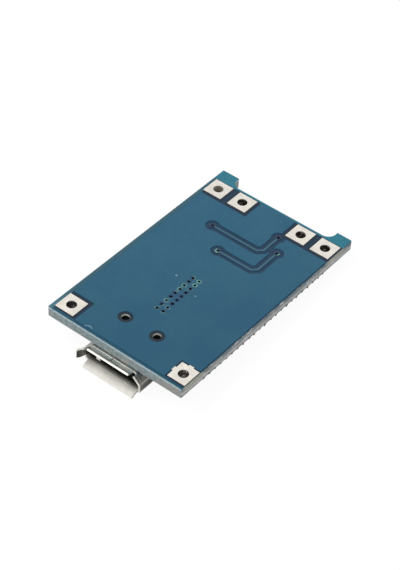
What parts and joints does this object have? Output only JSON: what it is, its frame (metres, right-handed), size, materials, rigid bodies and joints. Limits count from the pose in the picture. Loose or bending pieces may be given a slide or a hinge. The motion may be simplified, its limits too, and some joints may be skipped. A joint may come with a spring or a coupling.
{
  "type": "lithium battery charger module",
  "caption": "Small blue circuit board with a charging socket at one end and plated solder holes, for charging a lithium cell and guarding it.",
  "frame": {"origin": "middle of the box round the whole part, at its lowest point, which is the outer lip of the socket", "axes": "+Z out of the bare back face, -Y out of the socket mouth, +Y towards the eared end, +X from the input plus hole to the input minus hole"},
  "size_m": [0.017, 0.0292, 0.0041],
  "materials": {
    "laminate": "blue solder mask over glass-fibre laminate",
    "copper": "copper under blue solder mask",
    "solder": "hot-tinned copper",
    "steel": "tinned steel sheet",
    "contact": "gold-flashed spring contact",
    "insulator": "black moulded plastic",
    "chip_black": "black moulding compound",
    "lead": "tin plate",
    "resistor": "black film on ceramic",
    "capacitor": "tan ceramic",
    "lamp_white": "white lamp base",
    "lens_red": "tinted clear resin",
    "lens_blue": "tinted clear resin"
  },
  "bodies": {
    "root": {"printed_board": "laminate", "back_copper": "copper", "front_copper": "copper", "front_lands": "solder", "pad_in_plus": "solder", "pad_in_minus": "solder", "pad_out_plus": "solder", "pad_battery_plus": "solder", "pad_battery_minus": "solder", "pad_out_minus": "solder", "heat_vias": "solder", "signal_vias": "solder", "socket_case": "steel", "socket_insulator": "insulator", "socket_contact_1": "contact", "socket_contact_2": "contact", "socket_contact_3": "contact", "socket_contact_4": "contact", "socket_contact_5": "contact", "charger_body": "chip_black", "charger_leads": "lead", "charger_heat_slug": "lead", "protection_body": "chip_black", "protection_leads": "lead", "switch_body": "chip_black", "switch_leads": "lead", "charging_lamp_base": "lamp_white", "charging_lamp_lens": "lens_red", "charging_lamp_terminals": "lead", "full_lamp_base": "lamp_white", "full_lamp_lens": "lens_blue", "full_lamp_terminals": "lead", "lamp_resistor_1_body": "resistor", "lamp_resistor_1_caps": "lead", "lamp_resistor_2_body": "resistor", "lamp_resistor_2_caps": "lead", "current_resistor_body": "resistor", "current_resistor_caps": "lead", "input_resistor_body": "resistor", "input_resistor_caps": "lead", "filter_resistor_body": "resistor", "filter_resistor_caps": "lead", "sense_resistor_body": "resistor", "sense_resistor_caps": "lead", "input_capacitor_body": "capacitor", "input_capacitor_caps": "lead", "cell_capacitor_body": "capacitor", "cell_capacitor_caps": "lead", "filter_capacitor_body": "capacitor", "filter_capacitor_caps": "lead"}
  },
  "joints": []
}
